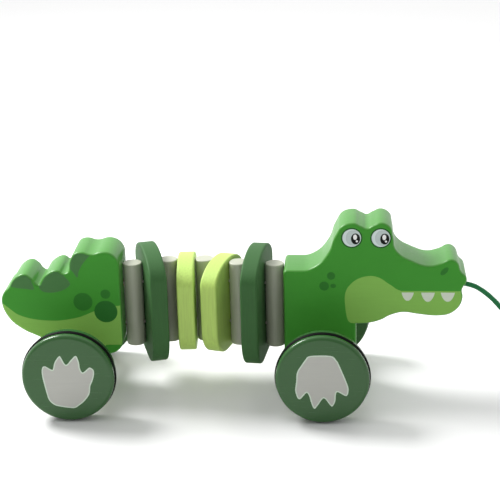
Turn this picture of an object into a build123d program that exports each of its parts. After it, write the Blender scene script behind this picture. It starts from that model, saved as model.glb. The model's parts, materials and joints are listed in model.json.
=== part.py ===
from build123d import *
import math
import os

# Wooden pull along crocodile. Millimetres, +Z up, +X towards the snout, -Y is the
# animal's right side. The origin lies on the floor under the middle of the toy.
#
# The head and the tail are solid blocks on wheels. Between them hang four arched
# discs, and an upright dowel stands in each of the five gaps, so that every disc can
# rock about the dowels beside it. Two strands of one string pull the row together.

# ---- Driving dimensions -----------------------------------------------------------
BLOCK_T = 31.0            # width of the head and tail blocks
BLOCK_EDGE = 1.6          # rounding along their long edges
CREASE_R = 1.0            # rounding inside the creases between the tail's humps
HEAD_BACK_X = 34.1        # where the head's flat back face stands

DISC_T = 11.0             # thickness of every disc
DISC_EDGE = 1.3
DARK_W = 63.0             # outer pair of discs, darker and larger
DARK_BOTTOM = 22.0
DARK_SHOULDER = 81.5      # height where the arch starts
DARK_TOP = 96.7
DARK_CORNER = 22.0        # radius of the two lower corners
LIME_W = 52.0             # inner pair of discs, lighter and smaller
LIME_BOTTOM = 26.9
LIME_SHOULDER = 75.5
LIME_TOP = 88.7
LIME_CORNER = 19.3

DOWEL_R = 6.15
DOWEL_BOTTOM = 30.6
DOWEL_TOP = 87.0
DOWEL_EDGE = 0.8
GAP = 0.15                # air between a dowel and the flat faces beside it

DISC_YAW = (-6.0, -15.5, 3.5, 17.0)    # at rest, from the head to the tail, degrees
TAIL_YAW = 1.0

WHEEL_R = 30.0            # over the rubber ring
WOOD_R = 29.2
WHEEL_T = 12.0
WHEEL_OUTER_Y = 56.5      # from the middle of a block to a wheel's outer face
WHEEL_EDGE = 2.4
WHEEL_INNER_EDGE = 1.0
RING_SECTION_R = 2.0
GROOVE_W = 4.3
AXLE_R = 4.0
AXLE_FIT = 0.06           # radial play of an axle in its block
HUB_FIT = 0.03            # radial play of an axle in its wheels and spacers
AXLE_DEPTH = 9.0          # how far an axle goes into the back of a wheel
AXLE_EDGE = 0.6
SPACER_R = 8.0
SPACER_GAP = 0.5          # side play between a spacer and its block
SPACER_EDGE = 0.8
FRONT_AXLE_X = 25.4       # ahead of the head's back face
REAR_AXLE_X = 30.1        # behind the tail's front face
AXLE_Z = WHEEL_R

STRING_R = 0.9
STRING_HOLE_R = 2.4       # wide enough for the string's swing inside a dowel
STRING_Z = (45.0, 73.0)   # lower and upper strand
STRING_STOP = 0.5         # a strand ends this far short of a dowel's axis
HEAD_WELL_X = 12.0        # upright hole inside the head, where the string turns back
TAIL_WELL_X = 14.0        # upright hole inside the tail, where the ends are tied
WELL_R = 3.6
WELL_TOP = 78.0
PLUG_H = 7.0
PLUG_FIT = 0.03
KNOT_R = 3.1
KNOT_H = 7.0
STRAND_X = 1.6            # offset of the two tied ends from the middle of the well
STRING_TURN_R = 3.0

CORD_R = 1.6
CORD_Z = 74.0             # height of the mouth, where the cord comes out
CORD_HOLE_R = 1.9
MOUTH_WELL_X = 100.0      # upright hole in the lower jaw, ahead of the head's back face
MOUTH_WELL_R = 4.5
MOUTH_WELL_TOP = 79.0
MOUTH_KNOT_R = 3.9
MOUTH_KNOT_L = 6.6

# The coil of spare cord: turns beside and on each other, outside and inside
COIL_X = 226.0
COIL_Y = 24.0
COIL_MID_R = 18.0
COIL_PITCH = 3.3          # from one turn to the next
BALL_R = 9.0
BALL_HOLE_R = 1.7
END_KNOT_R = 3.4
END_KNOT_L = 6.0

STEP = DISC_T / 2 + DOWEL_R + GAP      # from a disc's middle to a dowel's axis
HALF_STEP = DOWEL_R + GAP              # from a block's flat face to a dowel's axis

# ---- Outlines, in each block's own plane ------------------------------------------
STRAIGHT = 1e-4           # under this bend, a stretch counts as straight
# Head: X runs forwards from the flat back face, Z is the height over the floor.
NECK_START = (11.8, 87.3)
NECK = [(21.6, 91.0), (28.4, 99.2), (33.1, 110.8), (37.5, 117.2)]
FIRST_EYE_TOP = (44.2, 119.0)
BROW = [(49.3, 116.8), (52.8, 115.4), (56.4, 117.2)]
SECOND_EYE_TOP = (61.6, 119.2)
FOREHEAD = [(66.9, 116.8), (69.2, 109.4), (70.4, 102.4), (74.0, 97.9), (80.2, 94.4)]
SNOUT_DIP = (92.0, 90.7)
SNOUT = [(99.0, 92.3)]
SNOUT_TOP = (105.4, 95.0)
NOSTRIL_BUMP = [(109.3, 93.0)]
NOSE_CREASE = (111.0, 89.2)
NOSE_TIP = (115.6, 80.8)
MOUTH_CORNER = (112.7, 74.2)
NOSE_WAY = (0.2, -1)         # directions along the outline at the nose and the mouth
MOUTH_WAY = (-0.1, -1)
CHIN = [(113.2, 69.0), (111.2, 63.1), (106.7, 58.8)]
CHIN_BOTTOM = (96.3, 56.7)
JAW = [(86.0, 57.7)]
JAW_RISE = (76.5, 59.0)
THROAT = [(68.0, 57.0), (61.5, 53.5), (54.5, 51.5)]
CHEST_TOP = (46.3, 51.0)
HEAD_TOP_Z = 87.3
HEAD_BOTTOM_Z = 18.0
HEAD_CORNER = 12.0
HEAD_TOP_CORNER = 2.4

# Tail: X runs backwards from the flat front face and is negative.
TAIL_FACE_TOP = (0.0, 90.6)
TAIL_SHOULDER = [(-1.9, 95.6)]
FOURTH_HUMP = (-9.6, 99.5)
BACK_DIP = [(-18.2, 98.0)]
THIRD_HUMP = (-24.2, 99.4)
THIRD_HUMP_END = [(-28.7, 98.2), (-31.4, 94.4)]
THIRD_CREASE = (-32.8, 86.2)
SECOND_HUMP_START = [(-35.6, 84.9)]
SECOND_HUMP = (-40.9, 87.1)
SECOND_HUMP_END = [(-47.6, 84.2)]
SECOND_CREASE = (-52.5, 77.0)
FIRST_HUMP_START = [(-55.0, 78.4), (-57.2, 81.6)]
FIRST_HUMP = (-62.2, 84.6)
FIRST_HUMP_END = [(-68.7, 81.4)]
TIP_CREASE = (-72.3, 75.5)
TIP_TOP = [(-76.0, 72.0)]
TIP = (-78.1, 66.0)
TAIL_UNDERSIDE = [(-73.4, 53.0), (-64.9, 45.7)]
TAIL_UNDER_END = (-55.5, 41.0)
LOBE_BACK = [(-45.5, 33.0)]
LOBE_BOTTOM = (-30.1, 18.0)
TAIL_FLAT_END = (-18.5, 28.6)
TAIL_BOTTOM_Z = 28.6
TAIL_CORNER = 10.5

# ---- Route of the pull cord, from the mouth to the coil ---------------------------
CORD_ROUTE = [
    (137.5, 0.0, 74.0),
    (151.5, 0.0, 74.0),
    (163.5, -0.6, 67.2),
    (174.5, -1.6, 55.6),
    (184.0, -3.0, 42.4),
    (192.0, -4.0, 28.0),
    (200.5, -3.6, 14.4),
    (212.0, -0.2, 4.4),
    (226.0, 4.35, 1.65),
]
# From the coil, through the ball, to the knot behind it
END_ROUTE = [
    (226.0, 43.65, 4.95),
    (216.5, 44.0, 5.2),
    (207.0, 45.0, 7.3),
    (188.1, 46.05, 10.5),
]


def save(shape, node):
    """Write one node's STEP file."""
    shape.label = node
    export_step(shape, os.path.join("parts", node + ".step"))


def place(x, y, yaw):
    """A place on the floor plane, turned about the vertical."""
    return Location((x, y, 0), (0, 0, yaw))


def ahead(point, yaw, distance):
    """The point a distance along a body's own forward direction."""
    angle = math.radians(yaw)
    return (point[0] + distance * math.cos(angle), point[1] + distance * math.sin(angle))


def row_of_pieces():
    """Rest places of the dowels, the discs and the tail, from the head backwards."""
    dowels = []
    discs = []
    point = (HEAD_BACK_X - HALF_STEP, 0.0)
    yaw_before = 0.0
    for yaw in DISC_YAW:
        dowels.append((point, (yaw_before + yaw) / 2))
        middle = ahead(point, yaw, -STEP)
        discs.append((middle, yaw))
        point = ahead(middle, yaw, -STEP)
        yaw_before = yaw
    dowels.append((point, (yaw_before + TAIL_YAW) / 2))
    tail_front = ahead(point, TAIL_YAW, -HALF_STEP)
    return dowels, discs, tail_front


DOWELS, DISCS, TAIL_FRONT = row_of_pieces()
HEAD_PLACE = place(HEAD_BACK_X, 0.0, 0.0)
TAIL_PLACE = place(TAIL_FRONT[0], TAIL_FRONT[1], TAIL_YAW)


def is_near(vertex, points):
    """Whether an outline's vertex is one of the given points."""
    return any(math.dist((vertex.X, vertex.Y), point) < 0.05 for point in points)


def side_solid(outline, creases=()):
    """A board cut to an outline in the XZ plane, with its long edges rounded."""
    face = make_face(outline)
    if creases:
        face = fillet(face.vertices().filter_by(lambda v: is_near(v, creases)), CREASE_R)
    board = extrude(Plane.XZ.offset(-BLOCK_T / 2) * face, BLOCK_T)
    rims = board.edges().filter_by(lambda e: abs(abs(e.center().Y) - BLOCK_T / 2) < 0.01)
    return fillet(rims, BLOCK_EDGE)


def upright_hole(x, radius, low, high):
    """A round upright tool at a place along X."""
    return Pos(x, 0, (low + high) / 2) * Cylinder(radius, high - low)


def hole_along(axis, radius, start, end):
    """A round tool from one point to another along X or Y."""
    middle = (Vector(*start) + Vector(*end)) / 2
    length = (Vector(*end) - Vector(*start)).length
    turn = Rot(0, 90, 0) if axis == "X" else Rot(90, 0, 0)
    return Pos(*middle) * turn * Cylinder(radius, length)


def unit(way):
    """A plane direction of length 1."""
    return Vector(*way).normalized()


def way_through(before, at, after):
    """The direction, at the middle one of three points, of the circle through them."""
    run_in = Vector(*at) - Vector(*before)
    run_out = Vector(*after) - Vector(*at)
    way = run_in * (run_out.length / run_in.length) + run_out * (run_in.length / run_out.length)
    return way.normalized()


def two_arcs(start, start_way, end, end_way):
    """Two arcs that leave and reach their points in the given directions."""
    run = end - start
    both = start_way + end_way
    spread = 2 * (1 - start_way.dot(end_way))
    if spread < STRAIGHT:
        reach = run.dot(run) / (4 * run.dot(end_way))
    else:
        along = run.dot(both)
        reach = (math.sqrt(along ** 2 + spread * run.dot(run)) - along) / spread
    joint = (start + end + (start_way - end_way) * reach) * 0.5
    return [arc(start, joint, start_way), arc(end, joint, end_way * -1)]


def arc(start, end, way):
    """An arc between two points, with its direction given at its start."""
    if (end - start).normalized().cross(way).length < STRAIGHT:
        return Line(start, end)
    return TangentArc(start, end, tangent=way)


def smooth(*points, ways):
    """A smooth run of arcs through points, with its first and last directions given."""
    ends = [unit(way) for way in ways]
    middle = [way_through(*three) for three in zip(points, points[1:], points[2:])]
    directions = [ends[0], *middle, ends[1]]
    places = [Vector(*point) for point in points]
    arcs = []
    for index in range(len(points) - 1):
        arcs += two_arcs(places[index], directions[index],
                         places[index + 1], directions[index + 1])
    return arcs


def head_outline():
    """The crocodile's head, neck and chest, clockwise from the back face."""
    level = (1, 0)
    chest_x = CHEST_TOP[0]
    return Curve() + [
        Line((0, HEAD_BOTTOM_Z + HEAD_CORNER), (0, HEAD_TOP_Z - HEAD_TOP_CORNER)),
        RadiusArc((0, HEAD_TOP_Z - HEAD_TOP_CORNER), (HEAD_TOP_CORNER, HEAD_TOP_Z),
                  HEAD_TOP_CORNER),
        Line((HEAD_TOP_CORNER, HEAD_TOP_Z), NECK_START),
        *smooth(NECK_START, *NECK, FIRST_EYE_TOP, ways=(level, level)),
        *smooth(FIRST_EYE_TOP, *BROW, SECOND_EYE_TOP, ways=(level, level)),
        *smooth(SECOND_EYE_TOP, *FOREHEAD, SNOUT_DIP, ways=(level, level)),
        *smooth(SNOUT_DIP, *SNOUT, SNOUT_TOP, ways=(level, level)),
        *smooth(SNOUT_TOP, *NOSTRIL_BUMP, NOSE_CREASE, ways=(level, NOSE_WAY)),
        *smooth(NOSE_CREASE, NOSE_TIP, MOUTH_CORNER, ways=(NOSE_WAY, MOUTH_WAY)),
        *smooth(MOUTH_CORNER, *CHIN, CHIN_BOTTOM, ways=(MOUTH_WAY, (-1, 0))),
        *smooth(CHIN_BOTTOM, *JAW, JAW_RISE, ways=((-1, 0), (-1, 0))),
        *smooth(JAW_RISE, *THROAT, CHEST_TOP, ways=((-1, 0), (-1, 0))),
        Line(CHEST_TOP, (chest_x, HEAD_BOTTOM_Z + HEAD_CORNER)),
        RadiusArc((chest_x, HEAD_BOTTOM_Z + HEAD_CORNER),
                  (chest_x - HEAD_CORNER, HEAD_BOTTOM_Z), HEAD_CORNER),
        Line((chest_x - HEAD_CORNER, HEAD_BOTTOM_Z), (HEAD_CORNER, HEAD_BOTTOM_Z)),
        RadiusArc((HEAD_CORNER, HEAD_BOTTOM_Z), (0, HEAD_BOTTOM_Z + HEAD_CORNER),
                  HEAD_CORNER),
    ]


def tail_outline():
    """The crocodile's back, tail tip and belly, from the front face's top backwards."""
    back = (-1, 0)
    return Curve() + [
        *smooth(TAIL_FACE_TOP, *TAIL_SHOULDER, FOURTH_HUMP, ways=((0, 1), back)),
        *smooth(FOURTH_HUMP, *BACK_DIP, THIRD_HUMP, ways=(back, back)),
        *smooth(THIRD_HUMP, *THIRD_HUMP_END, THIRD_CREASE, ways=(back, (-0.15, -1))),
        *smooth(THIRD_CREASE, *SECOND_HUMP_START, SECOND_HUMP, ways=((-1, -0.6), back)),
        *smooth(SECOND_HUMP, *SECOND_HUMP_END, SECOND_CREASE, ways=(back, (-0.5, -1))),
        *smooth(SECOND_CREASE, *FIRST_HUMP_START, FIRST_HUMP, ways=((-1, 0.2), back)),
        *smooth(FIRST_HUMP, *FIRST_HUMP_END, TIP_CREASE, ways=(back, (-0.4, -1))),
        *smooth(TIP_CREASE, *TIP_TOP, TIP, ways=((-1, -0.9), (0, -1))),
        *smooth(TIP, *TAIL_UNDERSIDE, TAIL_UNDER_END, ways=((0, -1), (1, -0.5))),
        *smooth(TAIL_UNDER_END, *LOBE_BACK, LOBE_BOTTOM, ways=((1, -0.5), (1, 0))),
        *smooth(LOBE_BOTTOM, TAIL_FLAT_END, ways=((1, 0), (1, 0))),
        Line(TAIL_FLAT_END, (-TAIL_CORNER, TAIL_BOTTOM_Z)),
        RadiusArc((-TAIL_CORNER, TAIL_BOTTOM_Z), (0, TAIL_BOTTOM_Z + TAIL_CORNER),
                  -TAIL_CORNER),
        Line((0, TAIL_BOTTOM_Z + TAIL_CORNER), TAIL_FACE_TOP),
    ]


def make_head_block():
    """The head, bored for its axle, the string and the pull cord."""
    block = side_solid(head_outline())
    wide = BLOCK_T
    block -= hole_along("Y", AXLE_R + AXLE_FIT, (FRONT_AXLE_X, -wide, AXLE_Z),
                        (FRONT_AXLE_X, wide, AXLE_Z))
    block -= upright_hole(HEAD_WELL_X, WELL_R, HEAD_BOTTOM_Z - 1, WELL_TOP)
    for height in STRING_Z:
        block -= hole_along("X", STRING_HOLE_R, (-1, 0, height), (HEAD_WELL_X, 0, height))
    block -= upright_hole(MOUTH_WELL_X, MOUTH_WELL_R, CHIN_BOTTOM[1] - 2, MOUTH_WELL_TOP)
    block -= hole_along("X", CORD_HOLE_R, (MOUTH_WELL_X, 0, CORD_Z),
                        (NOSE_TIP[0] + 2, 0, CORD_Z))
    return HEAD_PLACE * block


def make_tail_block():
    """The tail, bored for its axle and for the well where the string is tied."""
    creases = (THIRD_CREASE, SECOND_CREASE, TIP_CREASE)
    block = side_solid(tail_outline(), creases)
    wide = BLOCK_T
    block -= hole_along("Y", AXLE_R + AXLE_FIT, (-REAR_AXLE_X, -wide, AXLE_Z),
                        (-REAR_AXLE_X, wide, AXLE_Z))
    block -= upright_hole(-TAIL_WELL_X, WELL_R, TAIL_BOTTOM_Z - 1, WELL_TOP)
    for height in STRING_Z:
        block -= hole_along("X", STRING_HOLE_R, (-TAIL_WELL_X, 0, height), (1, 0, height))
    return TAIL_PLACE * block


def make_disc(width, bottom, shoulder, top, corner, middle, yaw):
    """An arched disc that stands across the toy, drilled for both strands."""
    half = width / 2
    arch = EllipticalCenterArc((0, shoulder), half, top - shoulder, 0, arc_size=180)
    outline = Curve() + [
        arch,
        Line((-half, shoulder), (-half, bottom + corner)),
        RadiusArc((-half, bottom + corner), (corner - half, bottom), -corner),
        Line((corner - half, bottom), (half - corner, bottom)),
        RadiusArc((half - corner, bottom), (half, bottom + corner), -corner),
        Line((half, bottom + corner), (half, shoulder)),
    ]
    disc = extrude(Plane.YZ.offset(-DISC_T / 2) * make_face(outline), DISC_T)
    rims = disc.edges().filter_by(lambda e: abs(abs(e.center().X) - DISC_T / 2) < 0.01)
    disc = fillet(rims, DISC_EDGE)
    for height in STRING_Z:
        disc -= hole_along("X", STRING_HOLE_R, (-DISC_T, 0, height), (DISC_T, 0, height))
    return place(middle[0], middle[1], yaw) * disc


def make_dowel(axis, yaw):
    """An upright dowel, drilled across for both strands."""
    height = DOWEL_TOP - DOWEL_BOTTOM
    dowel = Pos(0, 0, (DOWEL_TOP + DOWEL_BOTTOM) / 2) * Cylinder(DOWEL_R, height)
    dowel = fillet(dowel.edges().filter_by(GeomType.CIRCLE), DOWEL_EDGE)
    for level in STRING_Z:
        dowel -= hole_along("X", STRING_HOLE_R, (-DOWEL_R * 2, 0, level),
                            (DOWEL_R * 2, 0, level))
    return place(axis[0], axis[1], yaw) * dowel


def make_wheel(side):
    """A wooden wheel with a groove for its rubber ring and a blind hole for the axle."""
    wood = Rot(90, 0, 0) * Cylinder(WOOD_R, WHEEL_T)
    circles = wood.edges().filter_by(GeomType.CIRCLE)
    wood = fillet(circles.filter_by(lambda e: e.center().Y * side > 0), WHEEL_EDGE)
    circles = wood.edges().filter_by(GeomType.CIRCLE)
    inner = circles.filter_by(lambda e: e.center().Y * side < -WHEEL_T / 2 + 0.01)
    wood = fillet(inner, WHEEL_INNER_EDGE)
    floor_r = WHEEL_R - 2 * RING_SECTION_R
    groove = Cylinder(WHEEL_R + 1, GROOVE_W) - Cylinder(floor_r, GROOVE_W)
    wood -= Rot(90, 0, 0) * groove
    middle_y = side * (WHEEL_OUTER_Y - WHEEL_T / 2)
    wood = Pos(0, middle_y, AXLE_Z) * wood
    inner_y = side * (WHEEL_OUTER_Y - WHEEL_T)
    wood -= hole_along("Y", AXLE_R + HUB_FIT, (0, inner_y - side, AXLE_Z),
                       (0, inner_y + side * AXLE_DEPTH, AXLE_Z))
    return wood


def make_ring(side):
    """The round rubber ring that a wheel rolls on."""
    ring = Torus(WHEEL_R - RING_SECTION_R, RING_SECTION_R)
    return Pos(0, side * (WHEEL_OUTER_Y - WHEEL_T / 2), AXLE_Z) * Rot(90, 0, 0) * ring


def make_axle():
    """A dowel that goes through the block and into both wheels."""
    reach = WHEEL_OUTER_Y - WHEEL_T + AXLE_DEPTH - 0.4
    axle = Rot(90, 0, 0) * Cylinder(AXLE_R, 2 * reach)
    axle = chamfer(axle.edges().filter_by(GeomType.CIRCLE), AXLE_EDGE)
    return Pos(0, 0, AXLE_Z) * axle


def make_spacer(side):
    """The wooden sleeve that keeps a wheel away from its block."""
    inner_y = BLOCK_T / 2 + SPACER_GAP
    outer_y = WHEEL_OUTER_Y - WHEEL_T
    sleeve = Cylinder(SPACER_R, outer_y - inner_y)
    sleeve = fillet(sleeve.edges().filter_by(GeomType.CIRCLE), SPACER_EDGE)
    sleeve -= Cylinder(AXLE_R + HUB_FIT, outer_y)
    return Pos(0, side * (inner_y + outer_y) / 2, AXLE_Z) * Rot(90, 0, 0) * sleeve


def make_plug(bottom):
    """The wooden plug that closes a well from below."""
    plug = Pos(0, 0, bottom + PLUG_H / 2) * Cylinder(WELL_R - PLUG_FIT, PLUG_H)
    return plug


def round_tube(points, radius, radii):
    """A tube along straight runs joined by tangent arcs."""
    path = FilletPolyline(*points, radius=radii)
    start = Plane(path @ 0, z_dir=path % 0)
    return sweep(start * Circle(radius), path=path)


def make_head_string():
    """The string's turn inside the head, with both strands back to the first dowel."""
    start_x = -HALF_STEP + STRING_STOP
    low, high = STRING_Z
    points = [(start_x, 0, low), (HEAD_WELL_X, 0, low), (HEAD_WELL_X, 0, high),
              (start_x, 0, high)]
    return HEAD_PLACE * round_tube(points, STRING_R, STRING_TURN_R)


def make_tail_string():
    """Both ends of the string, from the last dowel into the tail's well."""
    start_x = HALF_STEP - STRING_STOP
    knot_top = TAIL_BOTTOM_Z + PLUG_H + KNOT_H
    strands = []
    for height, shift in zip(STRING_Z, (STRAND_X, -STRAND_X)):
        down_x = shift - TAIL_WELL_X
        turn_r = min(STRING_TURN_R, (height - knot_top) * 0.8)
        points = [(start_x, 0, height), (down_x, 0, height), (down_x, 0, knot_top)]
        strands.append(round_tube(points, STRING_R, turn_r))
    return TAIL_PLACE * Compound(strands)


def make_disc_string(middle, yaw):
    """The two strands through a disc, from dowel to dowel."""
    reach = STEP - STRING_STOP
    strands = []
    for height in STRING_Z:
        strands.append(hole_along("X", STRING_R, (-reach, 0, height), (reach, 0, height)))
    return place(middle[0], middle[1], yaw) * Compound(strands)


def make_string_knot():
    """The knot that holds the string's two ends in the tail."""
    knot = Cylinder(KNOT_R, KNOT_H)
    knot = fillet(knot.edges().filter_by(GeomType.CIRCLE), KNOT_R * 0.35)
    middle_z = TAIL_BOTTOM_Z + PLUG_H + KNOT_H / 2
    return TAIL_PLACE * Pos(-TAIL_WELL_X, 0, middle_z) * knot


def largest_radii(points):
    """For each corner, the largest arc that both of its runs leave room for."""
    radii = []
    for before, corner, after in zip(points, points[1:], points[2:]):
        run_in = Vector(*corner) - Vector(*before)
        run_out = Vector(*after) - Vector(*corner)
        half_turn = math.radians(run_in.get_angle(run_out) / 2)
        radii.append(0.45 * min(run_in.length, run_out.length) / math.tan(half_turn))
    return radii


def make_cord(points, name):
    """One free stretch of the pull cord."""
    radii = largest_radii(points)
    path = FilletPolyline(*points, radius=radii)
    tube = round_tube(points, CORD_R, radii)
    expected = math.pi * CORD_R ** 2 * path.length
    print(name, "length", round(path.length, 1), "volume ratio",
          round(tube.volume / expected, 4), "radii", [round(r, 1) for r in radii])
    return tube


def make_coil():
    """The outer shape of the spare cord, wound up and lying on the floor."""
    half_width = COIL_PITCH
    height = 2 * COIL_PITCH
    section = Pos(COIL_MID_R, height / 2) * RectangleRounded(2 * half_width, height, 1.5)
    ring = revolve(Plane.XZ * section, Axis.Z)
    return Pos(COIL_X, COIL_Y, 0) * ring


def knot_solid(radius, length, at, direction):
    """A tight knot, as a plump barrel round the cord's line."""
    barrel = Cylinder(radius, length)
    barrel = fillet(barrel.edges().filter_by(GeomType.CIRCLE), radius * 0.45)
    return Plane(origin=at, z_dir=direction) * barrel


def make_mouth_knot():
    """The knot that stops the pull cord inside the jaw."""
    front_x = CORD_ROUTE[0][0]
    return knot_solid(MOUTH_KNOT_R, MOUTH_KNOT_L, (front_x - MOUTH_KNOT_L / 2, 0, CORD_Z),
                      (1, 0, 0))


def end_direction():
    """The direction in which the cord's far end points."""
    return (Vector(*END_ROUTE[-1]) - Vector(*END_ROUTE[-2])).normalized()


def make_ball():
    """The wooden ball at the end of the cord, bored through."""
    direction = end_direction()
    middle = Vector(*END_ROUTE[-1]) - direction * BALL_R
    ball = Sphere(BALL_R) - Cylinder(BALL_HOLE_R, 3 * BALL_R)
    return Plane(origin=middle, z_dir=direction) * ball


def make_end_knot():
    """The knot that keeps the ball on the cord."""
    direction = end_direction()
    middle = Vector(*END_ROUTE[-1]) + direction * (END_KNOT_L / 2)
    return knot_solid(END_KNOT_R, END_KNOT_L, middle, direction)


def build():
    """Write every node."""
    os.makedirs("parts", exist_ok=True)
    save(make_head_block(), "head_block")
    save(make_tail_block(), "tail_block")

    dark = (DARK_W, DARK_BOTTOM, DARK_SHOULDER, DARK_TOP, DARK_CORNER)
    lime = (LIME_W, LIME_BOTTOM, LIME_SHOULDER, LIME_TOP, LIME_CORNER)
    for number, (middle, yaw) in enumerate(DISCS, start=1):
        shape = dark if number in (1, len(DISCS)) else lime
        save(make_disc(*shape, middle, yaw), f"disc_{number}")
        save(make_disc_string(middle, yaw), f"disc_{number}_string")
    for number, (axis, yaw) in enumerate(DOWELS, start=1):
        save(make_dowel(axis, yaw), f"dowel_{number}")

    front = HEAD_PLACE * Pos(FRONT_AXLE_X, 0, 0)
    rear = TAIL_PLACE * Pos(-REAR_AXLE_X, 0, 0)
    for end, at in (("front", front), ("rear", rear)):
        save(at * make_axle(), f"{end}_axle")
        for hand, side in (("right", -1), ("left", 1)):
            save(at * make_wheel(side), f"{end}_{hand}_wheel")
            save(at * make_ring(side), f"{end}_{hand}_rubber_ring")
            save(at * make_spacer(side), f"{end}_{hand}_spacer")

    save(make_head_string(), "head_string")
    save(make_tail_string(), "tail_string")
    save(make_string_knot(), "string_knot")
    save(HEAD_PLACE * Pos(HEAD_WELL_X, 0, 0) * make_plug(HEAD_BOTTOM_Z), "head_plug")
    save(TAIL_PLACE * Pos(-TAIL_WELL_X, 0, 0) * make_plug(TAIL_BOTTOM_Z), "tail_plug")

    save(make_mouth_knot(), "mouth_knot")
    save(make_cord(CORD_ROUTE, "pull_cord"), "pull_cord")
    save(make_coil(), "cord_coil")
    save(make_cord(END_ROUTE, "cord_end"), "cord_end")
    save(make_ball(), "pull_ball")
    save(make_end_knot(), "end_knot")


build()
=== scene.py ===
import json
import math

import bmesh
import bpy
import numpy as np
from mathutils import Matrix, Vector
from mathutils.geometry import delaunay_2d_cdt


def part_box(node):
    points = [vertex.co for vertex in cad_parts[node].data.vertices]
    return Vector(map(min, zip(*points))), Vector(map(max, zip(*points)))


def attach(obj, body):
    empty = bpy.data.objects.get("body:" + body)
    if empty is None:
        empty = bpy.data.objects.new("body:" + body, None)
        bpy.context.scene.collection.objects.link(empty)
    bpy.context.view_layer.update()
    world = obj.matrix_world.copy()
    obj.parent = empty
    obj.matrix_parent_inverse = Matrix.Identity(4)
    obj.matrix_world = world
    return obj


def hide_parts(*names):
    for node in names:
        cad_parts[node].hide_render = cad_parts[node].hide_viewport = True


# A wooden pull along crocodile. The discs, dowels, wheels, rubber rings, axles and
# spacers are the CAD's own meshes with painted wood and rubber finishes. The head and
# the tail are rebuilt here with their printed faces, each wheel gets its printed paw,
# and the pull cord is braided, wound up, tied and knotted.

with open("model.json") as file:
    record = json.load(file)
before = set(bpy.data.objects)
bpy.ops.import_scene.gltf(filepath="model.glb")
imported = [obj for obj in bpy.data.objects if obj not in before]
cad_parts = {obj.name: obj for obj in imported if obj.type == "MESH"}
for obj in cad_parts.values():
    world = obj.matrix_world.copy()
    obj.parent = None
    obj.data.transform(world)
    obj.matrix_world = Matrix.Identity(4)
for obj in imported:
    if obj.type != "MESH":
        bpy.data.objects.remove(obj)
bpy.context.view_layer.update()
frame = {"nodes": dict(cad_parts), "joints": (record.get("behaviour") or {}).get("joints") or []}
MM = 0.001


# ---- Places taken from the frame --------------------------------------------------
def joint_named(name):
    """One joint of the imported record."""
    return next(joint for joint in frame["joints"] if joint["name"] == name)


HEAD_LOW, HEAD_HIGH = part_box("head_block")
BLOCK_T = (HEAD_HIGH.y - HEAD_LOW.y) / MM
HEAD_PLACE = Matrix.Translation((HEAD_LOW.x, 0, 0)) @ Matrix.Scale(MM, 4)

REAR_AXLE = joint_named("rear_axle_spin")
REAR_AXLE_X = 30.1        # mm, behind the tail's front face
TAIL_YAW = math.atan2(-REAR_AXLE["axis"][0], REAR_AXLE["axis"][1])
REAR_TURN = Matrix.Rotation(TAIL_YAW, 4, "Z")
REAR_MIDDLE = Vector(REAR_AXLE["pos_m"])
TAIL_PLACE = (Matrix.Translation((REAR_MIDDLE.x, REAR_MIDDLE.y, 0)) @ REAR_TURN
              @ Matrix.Translation((REAR_AXLE_X * MM, 0, 0)) @ Matrix.Scale(MM, 4))
FRONT_MIDDLE = Vector(joint_named("front_axle_spin")["pos_m"])
WHEEL_FACE_Y = max(abs(corner.y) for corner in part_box("front_right_wheel"))

# ---- Outlines of the two blocks, mm, in each block's own side plane ---------------
# Head: X runs forwards from the flat back face, Z is the height over the floor.
NECK_START = (11.8, 87.3)
NECK = [(21.6, 91.0), (28.4, 99.2), (33.1, 110.8), (37.5, 117.2)]
FIRST_EYE_TOP = (44.2, 119.0)
BROW = [(49.3, 116.8), (52.8, 115.4), (56.4, 117.2)]
SECOND_EYE_TOP = (61.6, 119.2)
FOREHEAD = [(66.9, 116.8), (69.2, 109.4), (70.4, 102.4), (74.0, 97.9), (80.2, 94.4)]
SNOUT_DIP = (92.0, 90.7)
SNOUT = [(99.0, 92.3)]
SNOUT_TOP = (105.4, 95.0)
NOSTRIL_BUMP = [(109.3, 93.0)]
NOSE_CREASE = (111.0, 89.2)
NOSE_TIP = (115.6, 80.8)
MOUTH_CORNER = (112.7, 74.2)
NOSE_WAY = (0.2, -1)      # directions along the outline at the nose and the mouth
MOUTH_WAY = (-0.1, -1)
CHIN = [(113.2, 69.0), (111.2, 63.1), (106.7, 58.8)]
CHIN_BOTTOM = (96.3, 56.7)
JAW = [(86.0, 57.7)]
JAW_RISE = (76.5, 59.0)
THROAT = [(68.0, 57.0), (61.5, 53.5), (54.5, 51.5)]
CHEST_TOP = (46.3, 51.0)
HEAD_TOP_Z = 87.3
HEAD_BOTTOM_Z = 18.0
HEAD_CORNER = 12.0
HEAD_TOP_CORNER = 2.4

# Tail: X runs backwards from the flat front face and is negative.
TAIL_FACE_TOP = (0.0, 90.6)
TAIL_SHOULDER = [(-1.9, 95.6)]
FOURTH_HUMP = (-9.6, 99.5)
BACK_DIP = [(-18.2, 98.0)]
THIRD_HUMP = (-24.2, 99.4)
THIRD_HUMP_END = [(-28.7, 98.2), (-31.4, 94.4)]
THIRD_CREASE = (-32.8, 86.2)
SECOND_HUMP_START = [(-35.6, 84.9)]
SECOND_HUMP = (-40.9, 87.1)
SECOND_HUMP_END = [(-47.6, 84.2)]
SECOND_CREASE = (-52.5, 77.0)
FIRST_HUMP_START = [(-55.0, 78.4), (-57.2, 81.6)]
FIRST_HUMP = (-62.2, 84.6)
FIRST_HUMP_END = [(-68.7, 81.4)]
TIP_CREASE = (-72.3, 75.5)
TIP_TOP = [(-76.0, 72.0)]
TIP = (-78.1, 66.0)
TAIL_UNDERSIDE = [(-73.4, 53.0), (-64.9, 45.7)]
TAIL_UNDER_END = (-55.5, 41.0)
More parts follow.
